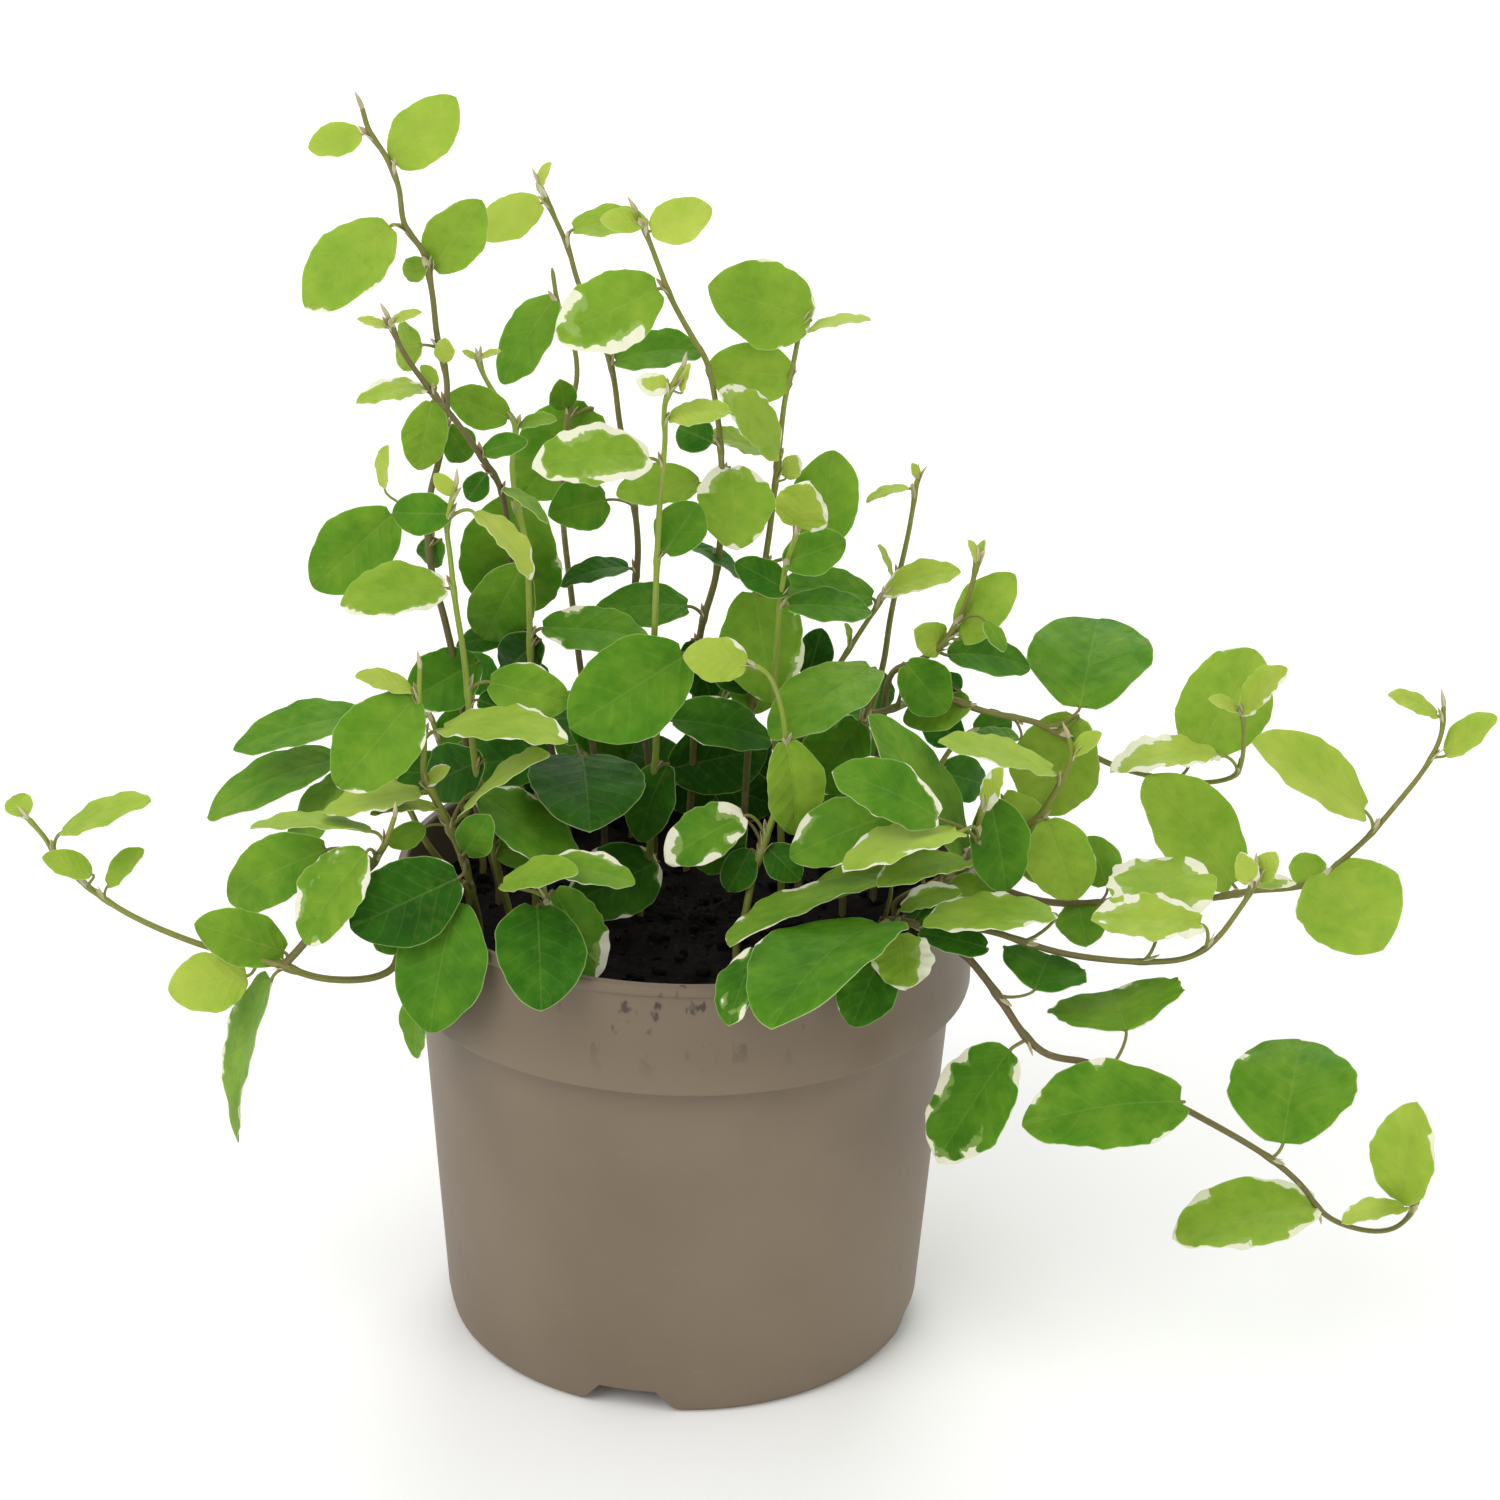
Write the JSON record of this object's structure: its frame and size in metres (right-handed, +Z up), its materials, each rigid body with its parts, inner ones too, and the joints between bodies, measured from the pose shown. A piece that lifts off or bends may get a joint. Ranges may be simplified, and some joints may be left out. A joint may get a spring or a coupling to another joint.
{
  "type": "potted white sunny creeping fig",
  "caption": "Creeping fig with cream-edged oval leaves on thin upright and trailing stems, in soil in a round plastic nursery pot.",
  "frame": {"origin": "middle of the pot's foot, on the surface it stands on", "axes": "+Z up along the pot's axis, -Y towards the side that the picture shows, +X to its right"},
  "size_m": [0.3003, 0.1725, 0.2687],
  "materials": {
    "pot_plastic": "taupe moulded plastic, satin",
    "soil": "moist black-brown peat",
    "foliage": "satin green leaves with cream edges on olive-brown stems"
  },
  "bodies": {
    "root": {"pot": "pot_plastic", "soil": "soil", "trailing_right_low": "foliage", "trailing_right_middle": "foliage", "trailing_right_far": "foliage", "pale_tip_right": "foliage", "bud_shoot_right": "foliage", "trailing_right_high": "foliage", "pale_pair_right": "foliage", "thin_twig_right": "foliage", "dark_pair_right": "foliage", "front_arc_shoot": "foliage", "front_upright": "foliage", "cream_leaf_tall": "foliage", "round_top": "foliage", "young_round": "foliage", "tall_middle": "foliage", "slender_back": "foliage", "twin_tip": "foliage", "brown_arch": "foliage", "tall_left": "foliage", "front_left_upright": "foliage", "bud_shoot_left": "foliage", "trailing_left": "foliage", "left_middle": "foliage", "front_low": "foliage", "back_left": "foliage", "back_middle_left": "foliage", "back_middle_right": "foliage", "back_right": "foliage", "back_far_left": "foliage", "back_far_right": "foliage", "trailing_back_left": "foliage", "trailing_back_right": "foliage"}
  },
  "joints": []
}
